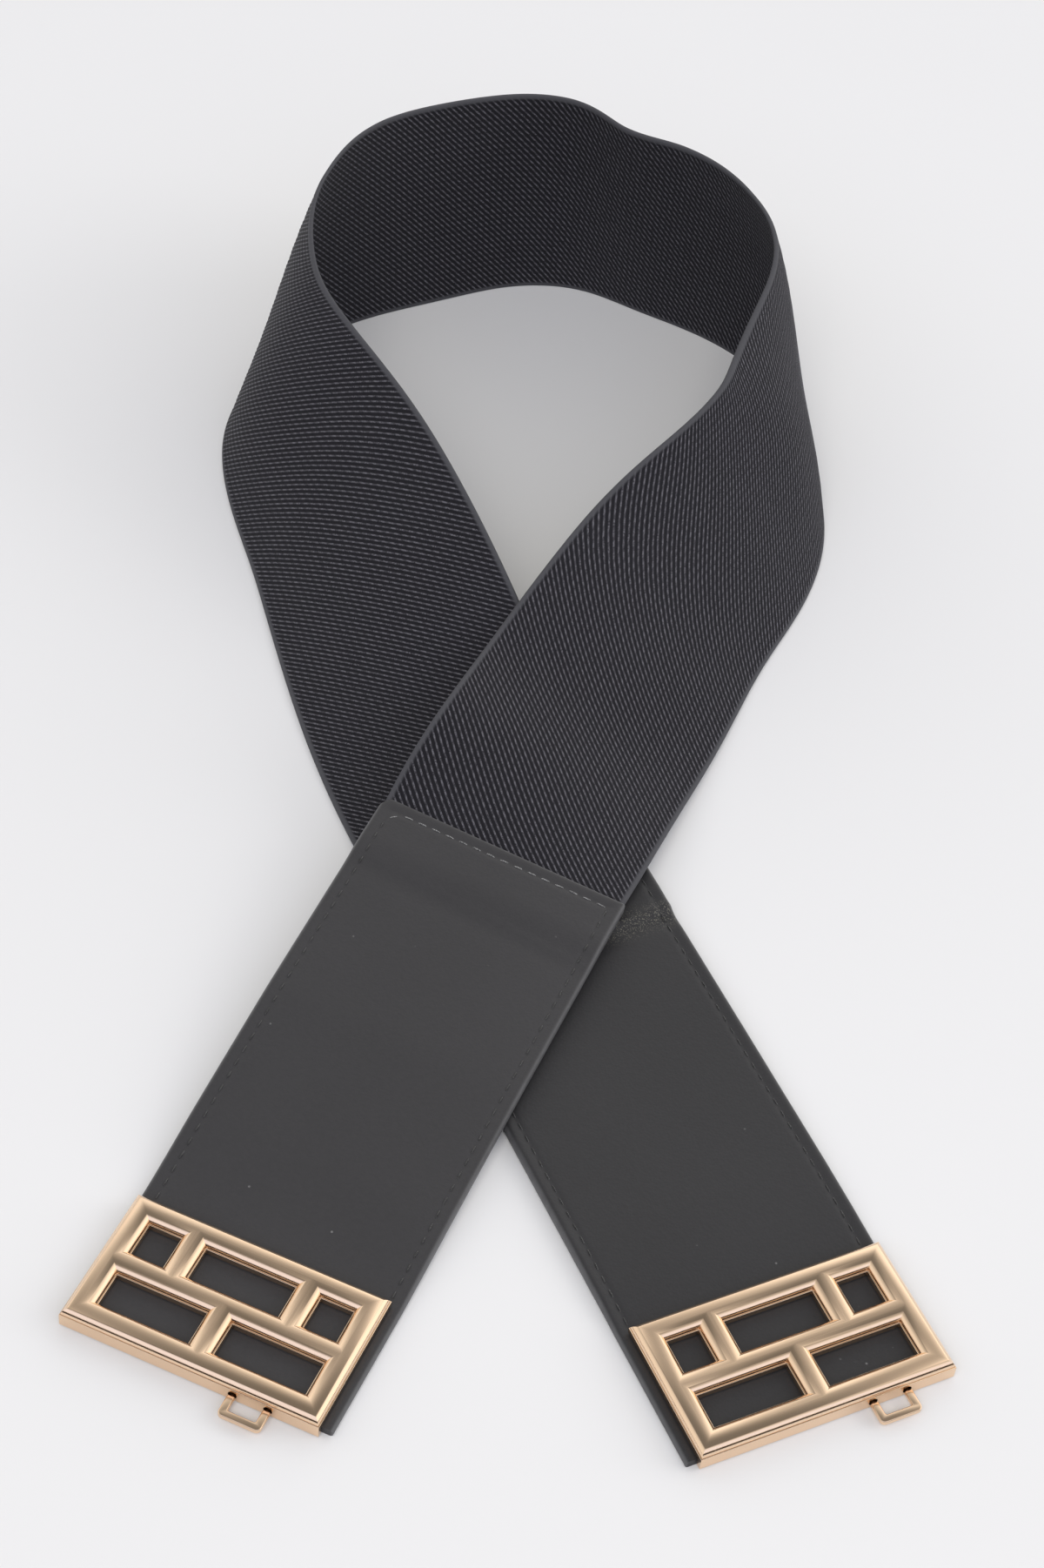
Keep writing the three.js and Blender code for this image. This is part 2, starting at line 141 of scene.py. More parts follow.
# How a tab settles on the table: share of its length, share of the height and lean left,
# share of the way to the body's thickness and to the nose's thickness

SETTLE_COLUMNS = ("at", "rise", "body", "nose")
SETTLE = (
    (0.00, 1.00, 0, 0),
    (0.12, 0.93, 0, 0),
    (0.17, 0.90, 1, 0),
    (0.50, 0.63, 1, 0),
    (0.80, 0.23, 1, 0),
    (0.92, 0.05, 1, 0.3),
    (1.00, 0.00, 1, 1),
)

SETTLE_BLUR = 0.025

# The weave, measured in cycles per millimetre

RIB_ALONG = 0.62                  # slanting ribs, counted along the elastic
RIB_ACROSS = 0.555                # and across it
ROW_ACROSS = 0.555                # lengthwise rows
RIB_HEIGHT = 0.13
SIDE_SHIFT = 0.25                 # ribs lie this share of a cycle off on each face
SELVEDGE_FLAT = 0.7               # from the elastic's edge, the ribs rise between here
SELVEDGE = 1.6                    # and here
RIM_PLACES = (0.45, 1.0, 1.7)
RIM_ARC = ((0.13, 0.72), (0.0, 0.0), (0.13, -0.72))   # inset, share of the half thickness
SAMPLES_PER_RIB = 4
FACE_ROWS = 12

# The stitches

STITCH_PITCH = 3.5
STITCH_INSET = 3.2
STITCH_LENGTH = 2.5
STITCH_WIDTH = 0.34
STITCH_VALLEY = 0.16
VALLEY_WIDTH = 0.6
STITCH_LIFT = 0.08                # a stitch's middle over the valley's floor
STITCH_DIVE = 0.26                # how far its ends go down from there
STITCH_SWING = 0.05               # largest turn off the row, as a slope
STITCH_RINGS = 6
STITCH_SIDES = 6
STITCH_SEED = 7

# The leather

TOP_CORNERS = (0.6, 3.0)          # corner radii at the lower and the upper edge of the elastic
UNDER_CORNERS = (0.6, 0.6)
TAB_EDGE_RADIUS = 1.1
RIM_ROLL = 0.12
ROLL_RISE = 0.8                   # the roll rises from the rim to here
ROLL_FALL = (1.2, 2.4)            # and falls between these
POCKET_WALL = 0.2
CREASE_AT = 18.5                  # where the leather drops past the elastic's tongue
CREASE_SLANT = 0.06
CREASE_WIDTH = 1.1
CREASE_DIP = 0.7                  # the hollow beside the crease, as a share of its height
DIP_STEP = 3.2
DIP_WIDTH = 2.4
TOP_CREASE = 0.06
UNDER_CREASE = 0.42
SAG = 0.10
SAG_GROWTH = (4, 20)

# Where the leather's skin has its points: insets from a side, distances from the elastic

FINE_INSETS = (1.5, 1.9, 2.3, 2.7, 3.2, 3.7, 4.1, 4.6, 5.4, 6.6)
MIDDLE_INSET = 8.5
MIDDLE_PLACES = 24
END_DISTANCES = (0, 0.12, 0.3, 0.55, 0.9, 1.4, 1.9, 2.3, 2.7, 3.2, 3.7, 4.2, 4.7, 5.4, 6.2)
CREASE_ROWS = (7, 28, 0.6)        # from, to, step
BODY_STEP = 2.0
POCKET_RINGS = 5

# Edges sharper than this many degrees stay sharp

LEATHER_SHARP = 55
FRAME_SHARP = 32
LOOP_SHARP = 40

# Colours, and scales of the textures in cycles per metre

# The ribs' pale colour is a painted highlight standing in for the glints on their crests
RIB_CREST_PAINTED_HIGHLIGHT = (0.138, 0.135, 0.154)
GROUND_COLOURS = ((0.012, 0.0115, 0.0145), (0.017, 0.0165, 0.020))
SELVEDGE_COLOUR = (0.075, 0.075, 0.083)
# The two tabs are one leather; the under tab's darker colour is painted shade
LEATHER_TOP_COLOUR = (0.0425, 0.0415, 0.0440)
LEATHER_UNDER_SHADED_COLOUR = (0.0315, 0.0310, 0.0330)
# The rims' pale colour is partly wear and partly a painted highlight on the rounded edge
RIM_WEAR_AND_HIGHLIGHT_COLOUR = (0.125, 0.125, 0.130)
POWDER_COLOUR = (0.24, 0.23, 0.19)
SPECK_COLOUR = (0.24, 0.24, 0.24)
GOLD_COLOURS = ((0.90, 0.655, 0.445), (0.93, 0.70, 0.50))
FLOOR_COLOURS = ((0.80, 0.80, 0.81), (0.83, 0.83, 0.84))

YARN_SCALE = 3500
GROUND_SCALE = 25
PORE_SCALE = 1500
GRAIN_SCALE = 900
CLOUD_SCALE = 22
RIM_WEAR_AND_HIGHLIGHT_SCALE = 400
POWDER_SCALE = 3200
SPECK_SCALE = 260
SPECK_PATCH_SCALE = 160
TWIST_SCALE = 5200
GOLD_SCALE = 60
RIPPLE_SCALE = 220
FLOOR_SCALE = 3


# Reading the tables

def column(table, names, name):
    return np.array([row[names.index(name)] for row in table], float)


def read_course(name, at):
    """Reads a column at shares of the length, on a smooth curve through the rows."""
    x = column(COURSE, COURSE_COLUMNS, "at")
    y = column(COURSE, COURSE_COLUMNS, name)
    span = np.diff(x)
    slope = np.diff(y) / span
    tangent = np.empty(len(x))
    tangent[0], tangent[-1] = slope[0], slope[-1]
    tangent[1:-1] = (slope[:-1] * span[1:] + slope[1:] * span[:-1]) / (span[:-1] + span[1:])
    at = np.asarray(at, float)
    i = np.clip(np.searchsorted(x, at, side="left") - 1, 0, len(x) - 2)
    return hermite(y[i], y[i + 1], tangent[i] * span[i], tangent[i + 1] * span[i], (at - x[i]) / span[i])


def hermite(start, end, start_tangent, end_tangent, t):
    return (
        start * (2 * t**3 - 3 * t**2 + 1)
        + end * (3 * t**2 - 2 * t**3)
        + start_tangent * (t**3 - 2 * t**2 + t)
        + end_tangent * (t**3 - t**2)
    )


def read_settle(name, at):
    """Reads a column in straight steps, rounded off over SETTLE_BLUR to both sides."""
    x, y = column(SETTLE, SETTLE_COLUMNS, "at"), column(SETTLE, SETTLE_COLUMNS, name)
    shifts = np.linspace(-SETTLE_BLUR, SETTLE_BLUR, 9)
    return np.mean([np.interp(at + shift, x, y) for shift in shifts], axis=0)


def smooth(low, high, x):
    t = np.clip((np.asarray(x, float) - low) / (high - low), 0, 1)
    return t * t * (3 - 2 * t)


def direction(heading):
    angle = np.radians(heading)
    return np.stack([np.cos(angle), np.sin(angle), 0 * angle], -1)


def across(heading, lean):
    tilt = np.radians(lean)[..., None]
    return direction(np.asarray(heading) + 90) * np.cos(tilt) + np.array([0, 0, 1]) * np.sin(tilt)


# The elastic's middle surface

def edge_points():
    """The outer edge on the table at every step, and its tangent there, before the lift."""
    stride = ELASTIC_LENGTH / BAND_STEPS
    at = np.arange(BAND_STEPS + 1) / BAND_STEPS
    steps = direction(read_course("heading", np.minimum(at + 0.5 / BAND_STEPS, 1))) * stride
    points = np.zeros((BAND_STEPS + 1, 3))
    points[1:] = np.cumsum(steps[:-1], axis=0)
    return points, direction(read_course("heading", at)) * stride


EDGE, EDGE_TANGENT = edge_points()


def band_frames(s):
    """Edge point, length, width and inner directions and bow at distances s along the band."""
    at = np.clip(s / ELASTIC_LENGTH, 0, 1)
    i = np.clip((at * BAND_STEPS).astype(int), 0, BAND_STEPS - 1)
    t = (at * BAND_STEPS - i)[:, None]
    edge = hermite(EDGE[i], EDGE[i + 1], EDGE_TANGENT[i], EDGE_TANGENT[i + 1], t)
    heading = read_course("heading", at)
    bow = read_course("bow", at) * ELASTIC_WIDTH
    along = direction(heading)
    width = across(heading, read_course("lean", at))
    inner = np.cross(width, along)
    foot_normal = turn(inner, along, np.arctan(4 * bow / ELASTIC_WIDTH))
    rise = (TAB_END_THICKNESS - ELASTIC_THICKNESS) / 2 * smooth(0.92, 1, at)
    edge[:, 2] = (
        read_course("lift", at) * ELASTIC_WIDTH + np.abs(foot_normal[:, 2]) * ELASTIC_THICKNESS / 2 + rise
    )
    return edge, along, width, inner, bow


def turn(vectors, axis, angle):
    """Turns vectors that are square to the axis."""
    angle = np.asarray(angle)[:, None]
    return vectors * np.cos(angle) + np.cross(axis, vectors) * np.sin(angle)


class TabEnd:
    """One end of the elastic, where a tab starts. out points from the elastic to the buckle."""

    def __init__(self, s, sense):
        edge, along, width, _, _ = band_frames(np.array([s]))
        self.edge = edge[0]
        self.along = along[0]
        self.heading = float(read_course("heading", s / ELASTIC_LENGTH))
        self.lean = float(read_course("lean", s / ELASTIC_LENGTH))
        self.sense = sense
        self.out = self.along * sense

    def frames(self, distance):
        """Origin, width direction, normal and thickness at distances from the elastic."""
        distance = np.asarray(distance, float)
        at = np.clip(distance / TAB_LENGTH, 0, 1)
        rise = read_settle("rise", at)
        thickness = tab_thickness(at)
        width = across(np.full(len(at), self.heading), self.lean * rise)
        origin = self.edge + np.outer(distance, self.out)
        origin[:, 2] = thickness / 2 + (self.edge[2] - TAB_END_THICKNESS / 2) * rise
        normal = np.cross(self.along, width)
        return origin, width, normal, thickness


def tab_thickness(at):
    body = read_settle("body", at)
    nose = read_settle("nose", at)
    full = TAB_END_THICKNESS + (TAB_THICKNESS - TAB_END_THICKNESS) * body
    return full + (TAB_NOSE_THICKNESS - full) * nose


END_TOP = TabEnd(0.0, -1)
END_UNDER = TabEnd(ELASTIC_LENGTH, 1)


def band_surface(s, w):
    """Points of the middle surface and the directions there from the outer to the inner face."""
    edge, along, width, inner, bow = band_frames(s)
    share = w / ELASTIC_WIDTH
    points = edge + width * w[:, None] + inner * (4 * bow * share * (1 - share))[:, None]
    normals = turn(inner, along, np.arctan(4 * bow * (1 - 2 * share) / ELASTIC_WIDTH))
    for end, beyond in ((END_TOP, -s), (END_UNDER, s - ELASTIC_LENGTH)):
        inside = beyond > 0
        if inside.any():
            origin, tongue_width, normal, _ = end.frames(beyond[inside])
            points[inside] = origin + tongue_width * w[inside][:, None]
            normals[inside] = -normal
    return points, normals


def frame_offset():
    """Where the course's start lies in the frame, read from the elastic's box."""
    at = np.arange(BAND_STEPS + 1) / BAND_STEPS * ELASTIC_LENGTH
    s, w = np.meshgrid(at, np.arange(BAND_STRIPS + 1) / BAND_STRIPS * ELASTIC_WIDTH)
    points, normals = band_surface(s.ravel(), w.ravel())
    half = normals * ELASTIC_THICKNESS / 2
    both = np.concatenate([points + half, points - half])
    low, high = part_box("elastic_band")
    offset = np.array(low) / MM - both.min(axis=0)
    offset[1] = high[1] / MM - both[:, 1].max()
    return offset


OFFSET = frame_offset()


# Meshes

# Faces of a block whose corners run through the last of their three places first

BLOCK_FACES = [(0, 1, 3, 2), (4, 6, 7, 5), (0, 4, 5, 1), (2, 3, 7, 6), (0, 2, 6, 4), (1, 5, 7, 3)]


def mesh_object(name, points, faces, material, limit=None):
    """An object from points in millimetres in the course's frame, shaded smooth up to the angle limit."""
    mesh = bpy.data.meshes.new(name)
    placed = (np.asarray(points, float) + OFFSET) * MM
    mesh.from_pydata(placed.tolist(), [], faces)
    piece = bpy.data.objects.new(name, mesh)
    bpy.context.scene.collection.objects.link(piece)
    tidy(mesh, limit)
    mesh.materials.append(material)
    return piece


def tidy(mesh, limit=None):
    """Faces point out, and edges sharper than the limit in degrees stay sharp."""
    body = bmesh.new()
    body.from_mesh(mesh)
    bmesh.ops.recalc_face_normals(body, faces=body.faces)
    for face in body.faces:
        face.smooth = True
    if limit is not None:
        for edge in body.edges:
            if len(edge.link_faces) == 2 and edge.calc_face_angle() > math.radians(limit):
                edge.smooth = False
    body.to_mesh(mesh)
    body.free()
    mesh.update()


def carry(piece, name, *numbers):
    """Gives every point of the mesh three numbers for its material."""
    place = piece.data.attributes.new(name, "FLOAT_VECTOR", "POINT")
    place.data.foreach_set("vector", np.stack(numbers, -1).astype(np.float32).ravel())


def mesh_points(piece):
    points = np.empty(len(piece.data.vertices) * 3)
    piece.data.vertices.foreach_get("co", points)
    return points.reshape(-1, 3)


def ring_faces(ring_count, count, closed=False):
    """Four-sided faces between rings of points, and from the last ring to the first if closed."""
    faces = []
    for i in range(ring_count if closed else ring_count - 1):
        first, second = i * count, ((i + 1) % ring_count) * count
        for k in range(count):
            after = (k + 1) % count
            faces.append((first + k, first + after, second + after, second + k))
    return faces


def ring_cover(first, count):
    """Strips across a ring whose first half runs beside its second half."""
    faces = []
    for k in range(count // 2 - 1):
        a, b, c, d = first + k, first + k + 1, first + count - 2 - k, first + count - 1 - k
        faces.append((a, b, c, d))
    return faces


def boolean(piece, other, operation):
    modifier = piece.modifiers.new("cut", "BOOLEAN")
    modifier.operation = operation
    modifier.solver = "EXACT"
    modifier.object = other
    graph = bpy.context.evaluated_depsgraph_get()
    made = bpy.data.meshes.new_from_object(piece.evaluated_get(graph))
    piece.modifiers.clear()
    old = piece.data
    piece.data = made
    bpy.data.meshes.remove(old)
    bpy.data.objects.remove(other)


# Materials

class Nodes:
    """Small helper for building the nodes of a material or the world."""

    def __init__(self, tree):
        self.tree = tree
        self.place = None

    def new(self, kind, **settings):
        node = self.tree.nodes.new(kind)
        for key, value in settings.items():
            setattr(node, key, value)
        return node

    def link(self, source, target):
        self.tree.links.new(source, target)

    def math(self, operation, first, second=0.0):
        node = self.new("ShaderNodeMath", operation=operation)
        for socket, value in zip(node.inputs, (first, second)):
            if isinstance(value, (int, float)):
                socket.default_value = value
            else:
                self.link(value, socket)
        return node.outputs[0]

    def ramp(self, value, low, high):
        """0 below low, 1 above high, smooth between."""
        node = self.new("ShaderNodeMapRange", interpolation_type="SMOOTHSTEP")
        self.link(value, node.inputs["Value"])
        node.inputs["From Min"].default_value = low
        node.inputs["From Max"].default_value = high
        return node.outputs[0]

    def mix(self, factor, first, second):
        node = self.new("ShaderNodeMix", data_type="RGBA")
        for socket, value in zip((node.inputs[0], node.inputs[6], node.inputs[7]), (factor, first, second)):
            if isinstance(value, tuple):
                socket.default_value = (*value, 1)
            elif isinstance(value, (int, float)):
                socket.default_value = value
            else:
                self.link(value, socket)
        return node.outputs[2]

    def noise(self, scale, detail):
        node = self.new("ShaderNodeTexNoise")
        node.inputs["Scale"].default_value = scale
        node.inputs["Detail"].default_value = detail
        self.link(self.object_place(), node.inputs["Vector"])
        return node.outputs[0]

    def voronoi(self, scale):
        node = self.new("ShaderNodeTexVoronoi")
        node.inputs["Scale"].default_value = scale
        self.link(self.object_place(), node.inputs["Vector"])
        return node.outputs["Distance"]

    def object_place(self):
        if self.place is None:
            self.place = self.new("ShaderNodeTexCoord").outputs["Object"]
        return self.place

    def split(self, vector):
        node = self.new("ShaderNodeSeparateXYZ")
        self.link(vector, node.inputs[0])
        return node.outputs

    def carried(self, name):
        """The three numbers that the mesh carries at every point under this name."""
        return self.split(self.new("ShaderNodeAttribute", attribute_name=name).outputs["Vector"])

    def bump(self, height, depth, strength=1.0):
        """A bump of this depth in millimetres."""
        node = self.new("ShaderNodeBump")
        node.inputs["Strength"].default_value = strength
        node.inputs["Distance"].default_value = depth * MM
        self.link(height, node.inputs["Height"])
        return node.outputs[0]

    def weighed(self, *terms):
        """The sum of outputs, each times its weight."""
        total = None
        for output, weight in terms:
            term = self.math("MULTIPLY", output, weight)
            total = term if total is None else self.math("ADD", total, term)
        return total

    def set(self, **values):
        shader = self.tree.nodes["Principled BSDF"]
        for name, value in values.items():
            socket = shader.inputs[name.replace("_", " ")]
            if isinstance(value, (int, float)):
                socket.default_value = value
            else:
                self.link(value, socket)


def new_material(name):
    material = bpy.data.materials.new(name)
    material.use_nodes = True
    return material, Nodes(material.node_tree)


def elastic_material():
    """Slanting ribs whose crests carry a painted highlight, broken into beads by lengthwise rows, on a dark
    ground.
    """
    material, nodes = new_material("elastic_weave")
    s, w, side = nodes.carried("cloth_place")
    turns = nodes.weighed((s, RIB_ALONG), (w, -RIB_ACROSS), (side, SIDE_SHIFT))
    rib = nodes.math("COSINE", nodes.math("MULTIPLY", turns, 2 * math.pi))
    rows = nodes.math("COSINE", nodes.math("MULTIPLY", w, ROW_ACROSS * 2 * math.pi))
    inset = nodes.math("MINIMUM", w, nodes.math("SUBTRACT", ELASTIC_WIDTH, w))
    inside = nodes.ramp(inset, SELVEDGE_FLAT, SELVEDGE)
    ridge = nodes.ramp(rib, 0.1, 0.95)
    bead = nodes.ramp(rows, -0.9, 0.6)
    yarn = nodes.noise(YARN_SCALE, 2)
    # light is a painted highlight on the rib crests, stronger along the bead rows
    light = nodes.math("MULTIPLY", ridge, nodes.math("ADD", nodes.math("MULTIPLY", bead, 0.55), 0.45))
    light = nodes.math("MULTIPLY", light, nodes.ramp(yarn, 0.25, 0.6))
    ground = nodes.mix(nodes.noise(GROUND_SCALE, 2), *GROUND_COLOURS)
    ribbed = nodes.mix(light, ground, RIB_CREST_PAINTED_HIGHLIGHT)
    height = nodes.math("MULTIPLY", nodes.weighed((bead, 0.6), (yarn, 0.35)), inside)
    nodes.set(
        Base_Color=nodes.mix(inside, SELVEDGE_COLOUR, ribbed),
        Roughness=nodes.math("SUBTRACT", 0.78, nodes.math("MULTIPLY", light, 0.25)),
        Specular_IOR_Level=0.12,
        Sheen_Weight=0.04,
        Sheen_Roughness=0.5,
        Normal=nodes.bump(height, 0.12),
    )
    return material


def leather_material(name, base, dust):
    """Grained leather, pale at its rims from wear and a painted highlight, with specks and powder where
    dust is 1.
    """
    material, nodes = new_material(name)
    distance, sideways, _ = nodes.carried("leather_place")
    pores = nodes.voronoi(PORE_SCALE)
    grain = nodes.noise(GRAIN_SCALE, 4)
    cloud = nodes.noise(CLOUD_SCALE, 1)
    tone = nodes.weighed((cloud, 0.5), (grain, 0.5))
    colour = nodes.mix(tone, tuple(0.80 * part for part in base), tuple(1.20 * part for part in base))
    side = nodes.math("MINIMUM", sideways, nodes.math("SUBTRACT", ELASTIC_WIDTH, sideways))
    rim = nodes.math("MINIMUM", nodes.math("ADD", side, TAB_SIDE_MARGIN), distance)
    # Pale rim band: partly wear, partly a painted highlight on the rounded edge
    rim_wear_and_highlight = nodes.math("ADD", nodes.math("MULTIPLY", nodes.noise(RIM_WEAR_AND_HIGHLIGHT_SCALE, 2), 0.5), 0.45)
    rim_wear_and_highlight = nodes.math("MULTIPLY", nodes.ramp(rim, 0.85, 0.15), rim_wear_and_highlight)
    colour = nodes.mix(rim_wear_and_highlight, colour, RIM_WEAR_AND_HIGHLIGHT_COLOUR)
    from_crease = nodes.math("ABSOLUTE", nodes.math("SUBTRACT", distance, CREASE_AT))
    powder = nodes.ramp(nodes.noise(POWDER_SCALE, 2), 0.54, 0.66)
    powder = nodes.math("MULTIPLY", nodes.ramp(from_crease, 5.5, 0.0), powder)
    colour = nodes.mix(nodes.math("MULTIPLY", powder, dust * 0.6), colour, POWDER_COLOUR)
    specks = nodes.ramp(nodes.voronoi(SPECK_SCALE), 0.085, 0.05)
    few = nodes.ramp(nodes.noise(SPECK_PATCH_SCALE, 1), 0.60, 0.68)
    specks = nodes.math("MULTIPLY", nodes.math("MULTIPLY", specks, few), 0.6)
    nodes.set(
        Base_Color=nodes.mix(specks, colour, SPECK_COLOUR),
        Roughness=nodes.math("ADD", 0.44, nodes.math("MULTIPLY", cloud, 0.06)),
        Specular_IOR_Level=0.4,
        Normal=nodes.bump(nodes.weighed((pores, 0.5), (grain, 0.7)), 0.06, 0.7),
    )
    return material


def thread_material(name, dark, light):
    """Twisted thread between two greys."""
    material, nodes = new_material(name)
    twist = nodes.noise(TWIST_SCALE, 1)
    nodes.set(
        Base_Color=nodes.mix(nodes.ramp(twist, 0.35, 0.65), (dark, dark, dark), (light, light, light)),
        Roughness=0.42,
        Normal=nodes.bump(twist, 0.06),
    )
    return material


def gold_material():
    material, nodes = new_material("polished_gold")
    cloud = nodes.noise(GOLD_SCALE, 3)
    nodes.set(
        Base_Color=nodes.mix(cloud, *GOLD_COLOURS),
        Metallic=1.0,
        Roughness=nodes.math("ADD", 0.13, nodes.math("MULTIPLY", cloud, 0.08)),
        Normal=nodes.bump(nodes.noise(RIPPLE_SCALE, 2), 0.04, 0.10),
    )
    return material


ELASTIC = elastic_material()
LEATHER_TOP = leather_material("leather_top", LEATHER_TOP_COLOUR, 0.0)
# The under tab's darker colour is painted shade
LEATHER_UNDER = leather_material("leather_under", LEATHER_UNDER_SHADED_COLOUR, 1.0)
DARK_THREAD = thread_material("dark_thread", 0.02, 0.08)
# The end row's thread has light grey streaks as painted glints
GLINT_PAINTED_THREAD = thread_material("thread_painted_glints", 0.06, 0.34)
GOLD = gold_material()


# Elastic

def rib_relief(s, w, side):
    turns = RIB_ALONG * s - RIB_ACROSS * w + SIDE_SHIFT * side
    inside = smooth(SELVEDGE_FLAT, SELVEDGE, np.minimum(w, ELASTIC_WIDTH - w))
    return RIB_HEIGHT / 2 * (np.cos(2 * np.pi * turns) - 1) * inside


def section_rows():
    """Once round the section: place across the width, and side from 1 inside to -1 outside."""
    *rim, last = RIM_PLACES
    middle = np.linspace(last, ELASTIC_WIDTH - last, FACE_ROWS)
    face = [*rim, *middle, *(ELASTIC_WIDTH - inset for inset in reversed(rim))]
    ring = [(w, 1.0) for w in face]
    ring += [(ELASTIC_WIDTH - inset, side) for inset, side in RIM_ARC]
    ring += [(w, -1.0) for w in reversed(face)]
    ring += [(inset, -side) for inset, side in RIM_ARC]
    return np.array(ring)


def make_elastic():
    """The elastic in columns that follow its slanting ribs, so that the ribs are real relief."""
    slant = RIB_ACROSS / RIB_ALONG
    low, high = -TONGUE_LENGTH + CLEARANCE, ELASTIC_LENGTH + TONGUE_LENGTH - CLEARANCE
    pitch = 1 / RIB_ALONG / SAMPLES_PER_RIB
    count = int((high - low + slant * ELASTIC_WIDTH) / pitch) - 1
    starts = low - slant * ELASTIC_WIDTH + pitch * (np.arange(count) + 1)
    ring = section_rows()
    w_low = np.clip((low - starts) / slant, 0, ELASTIC_WIDTH)
    w_high = np.clip((high - starts) / slant, 0, ELASTIC_WIDTH)
    w = w_low[:, None] + (w_high - w_low)[:, None] * ring[None, :, 0] / ELASTIC_WIDTH
    s = starts[:, None] + slant * w
    side = np.broadcast_to(ring[None, :, 1], w.shape)
    flat_s, flat_w, flat_side = s.ravel(), w.ravel(), side.ravel()
    points, normals = band_surface(flat_s, flat_w)
    half = ELASTIC_THICKNESS / 2 + rib_relief(flat_s, flat_w, np.sign(flat_side))
    points = points + normals * (flat_side * half)[:, None]
    rows = len(ring)
    faces = ring_faces(count, rows) + [tuple(range(rows)), tuple(range((count - 1) * rows, count * rows))]
    piece = mesh_object("elastic_weave", points, faces, ELASTIC)
    carry(piece, "cloth_place", flat_s, flat_w, np.sign(flat_side))
    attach(piece, "root")
    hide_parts("elastic_band")


# Leather tabs

def tab_limits(distance, corners):
    """Sideways limits of the leather, which narrows at its rounded corners."""
    low, high = corners
    edges = []
    for radius in (low, high):
        inside = np.clip(radius - distance, 0, radius)
        edges.append(radius - np.sqrt(np.maximum(radius**2 - inside**2, 0)))
    return -TAB_SIDE_MARGIN + edges[0], ELASTIC_WIDTH + TAB_SIDE_MARGIN - edges[1]


def tab_top_relief(distance, sideways, limits, crease):
    """Height of the upper face over the plain one: stitch valley, rolled rim and the crease."""
    low, high = limits
    rim = np.minimum(np.minimum(sideways - low, high - sideways), distance)
    valley = -STITCH_VALLEY * np.exp(-((rim - STITCH_INSET) / VALLEY_WIDTH) ** 2)
    roll = RIM_ROLL * smooth(0, ROLL_RISE, rim) * (1 - smooth(*ROLL_FALL, rim))
    at = distance - CREASE_AT - CREASE_SLANT * (ELASTIC_WIDTH / 2 - sideways)
    dip = CREASE_DIP * np.exp(-((at - DIP_STEP) / DIP_WIDTH) ** 2)
    fold = crease * (np.exp(-(at / CREASE_WIDTH) ** 2) - dip)
    sag = -SAG * smooth(*SAG_GROWTH, distance) * np.sin(np.pi * np.clip(sideways / ELASTIC_WIDTH, 0, 1))
    return valley + roll + fold + sag


def tab_section(distance, thickness, corners, crease):
    """Sideways places and heights round the leather, from the low side over the top and back."""
    low, high = tab_limits(distance, corners)
    half = thickness / 2
    radius = min(TAB_EDGE_RADIUS, half * 0.95) * (0.35 + 0.65 * smooth(0, 0.9, distance))
    turns = np.linspace(0, np.pi / 2, 5)
    arc_w, arc_h = radius * (1 - np.cos(turns)), half - radius * (1 - np.sin(turns))
    face = np.array(FINE_INSETS)
    middle = np.linspace(MIDDLE_INSET, ELASTIC_WIDTH - MIDDLE_INSET, MIDDLE_PLACES)
    w = np.concatenate([low + arc_w, low + face, middle, high - face[::-1], high - arc_w[::-1]])
    h = np.concatenate([arc_h, np.full(len(w) - 2 * len(arc_h), half), arc_h[::-1]])
    upper = h + tab_top_relief(distance, w, (low, high), crease)
    return np.concatenate([w, w[::-1]]), np.concatenate([upper, -h[::-1]])


def pocket_section(w, h):
    """The slot round the elastic's tongue, with as many places as the section round it."""
    low, high = w.min(), w.max()
    inner_low = max(-CLEARANCE, low + POCKET_WALL)
    inner_high = min(ELASTIC_WIDTH + CLEARANCE, high - POCKET_WALL)
    inner_w = inner_low + (w - low) / (high - low) * (inner_high - inner_low)
    return inner_w, np.sign(h) * (ELASTIC_THICKNESS / 2 + CLEARANCE)


def make_tab(name, end, material, corners, crease, node):
    """The leather as one skin: from the pocket's bottom out to its mouth, then over the outside."""
    length = TAB_LENGTH + BUCKLE_DEPTH - LIP_THICKNESS - CLEARANCE
    depths = np.linspace(TONGUE_LENGTH + CLEARANCE, 0, POCKET_RINGS)
    distances = np.unique(np.concatenate([
        np.array(END_DISTANCES),
        np.arange(*CREASE_ROWS),
        np.arange(CREASE_ROWS[1], length, BODY_STEP),
        np.array([length]),
    ]))
    rings = []
    for inside, row in ((True, depths), (False, distances)):
        origin, width, normal, thickness = end.frames(row)
        for k, distance in enumerate(row):
            w, h = tab_section(distance, thickness[k], corners, crease)
            if inside:
                w, h = pocket_section(w, h)
            elif distance < TAB_EDGE_RADIUS / 2:
                pull = TAB_EDGE_RADIUS / 2 - distance
                h = h - np.sign(h) * (TAB_EDGE_RADIUS / 2 - math.sqrt(TAB_EDGE_RADIUS**2 / 4 - pull**2))
            rings.append(origin[k] + np.outer(w, width[k]) + np.outer(h, normal[k]))
    count = len(rings[0])
    faces = ring_faces(len(rings), count)
    faces += ring_cover(0, count) + ring_cover((len(rings) - 1) * count, count)
    piece = mesh_object(name, np.concatenate(rings), faces, material, LEATHER_SHARP)
    cut_hook_bay(piece, end, length)
    mark_places(piece, end)
    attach(piece, "root")
    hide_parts(node)


